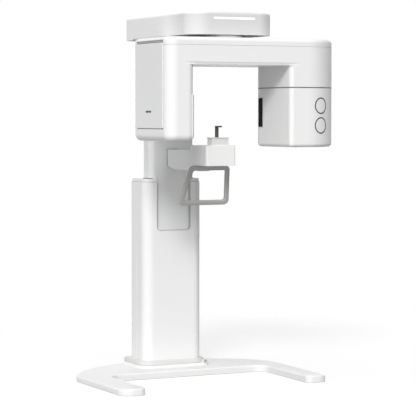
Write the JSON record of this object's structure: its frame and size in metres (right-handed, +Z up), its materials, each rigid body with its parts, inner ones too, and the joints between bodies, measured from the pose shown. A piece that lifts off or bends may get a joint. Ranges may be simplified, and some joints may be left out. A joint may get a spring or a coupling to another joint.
{
  "type": "floor-standing dental cone-beam scanner",
  "caption": "Dental cone-beam scanner: a column on a U-shaped base lifts a chin support and a top frame, whose C-arm turns a detector and an X-ray head round the patient.",
  "frame": {"origin": "on the floor, under the middle of the column", "axes": "+Z up, +X to the right of a patient who faces the column, -Y towards the patient"},
  "size_m": [1.1976, 1.068, 1.908],
  "materials": {
    "base_paint": "fine textured white paint",
    "cover_white": "satin white moulding",
    "cap_white": "high gloss white",
    "column_white": "satin white moulding",
    "strip_grey": "fine grained light grey",
    "panel_grey": "fine grained light grey",
    "lift_paint": "satin light grey paint on aluminium",
    "foot_paint": "satin white paint",
    "steel": "machined and zinc plated",
    "aluminium": "as machined",
    "motor_black": "black paint",
    "rubber_black": "matt black",
    "window_black": "gloss black",
    "ring_grey": "matt mid grey",
    "grip_grey": "satin warm grey",
    "holder_grey": "ribbed light grey",
    "bite_grey": "matt dark grey",
    "light_white": "milky diffuser",
    "liner_white": "bare bearing polymer",
    "detector_dark": "matt dark grey"
  },
  "bodies": {
    "base": {"base_casting": "base_paint", "leg_cap_left": "cap_white", "leg_cap_right": "cap_white", "levelling_feet": "rubber_black", "column_foot": "foot_paint", "foot_bolts": "steel", "cable_hood": "foot_paint", "column_front_cover": "column_white", "column_rear_cover": "column_white", "side_strip_left": "strip_grey", "side_strip_right": "strip_grey", "column_collar": "column_white", "column_spine": "steel", "guide_rails": "steel", "lift_gearbox": "aluminium", "lift_motor": "motor_black", "actuator_tube": "aluminium", "power_supply": "motor_black"},
    "lift": {"inner_column": "lift_paint", "guide_carriages": "aluminium", "actuator_rod": "steel", "rod_plate": "aluminium", "chin_bracket": "lift_paint", "bracket_bolts": "steel", "chin_box_cover": "cover_white", "chin_box_floor": "aluminium", "bite_holder": "holder_grey", "hand_grip": "grip_grey", "top_cover": "cover_white", "top_plate": "lift_paint", "light_strip": "light_white", "bearing_outer_ring": "steel", "bearing_liner": "liner_white", "turn_motor": "motor_black", "drive_belt": "rubber_black"},
    "drive": {"drive_pulley": "aluminium"},
    "arm": {"spindle": "aluminium", "spindle_bolts": "steel", "bearing_inner_ring": "steel", "arm_pulley": "aluminium", "spindle_nut": "steel", "arm_spar": "aluminium", "arm_shell": "cover_white", "arm_lid": "cover_white", "side_panel": "panel_grey", "detector_hanger": "aluminium", "detector_panel": "detector_dark", "detector_pad": "cover_white", "detector_window": "panel_grey", "tube_hanger": "aluminium", "tube_tank": "aluminium", "collimator": "steel", "head_cover": "cover_white", "beam_window": "window_black", "cap_rings": "ring_grey", "service_caps": "cover_white"},
    "bite": {"bite_block": "bite_grey"}
  },
  "joints": [
    {"name": "lift_slide", "type": "slide", "parent": "base", "child": "lift", "axis": [0, 0, 1], "range_m": [-0.33, 0.35]},
    {"name": "arm_turn", "type": "hinge", "parent": "lift", "child": "arm", "pos_m": [0, -0.697, 1.8], "axis": [0, 0, 1], "range_deg": [-195, 15]},
    {"name": "drive_turn", "type": "hinge", "parent": "lift", "child": "drive", "pos_m": [0, -0.507, 1.85], "axis": [0, 0, 1], "range_deg": [-800, 80]},
    {"name": "bite_slide", "type": "slide", "parent": "lift", "child": "bite", "axis": [0, 0, 1], "range_m": [0, 0.04]}
  ],
  "couplings": [
    {"joint": "drive_turn", "follows": "arm_turn", "ratio": 4}
  ]
}
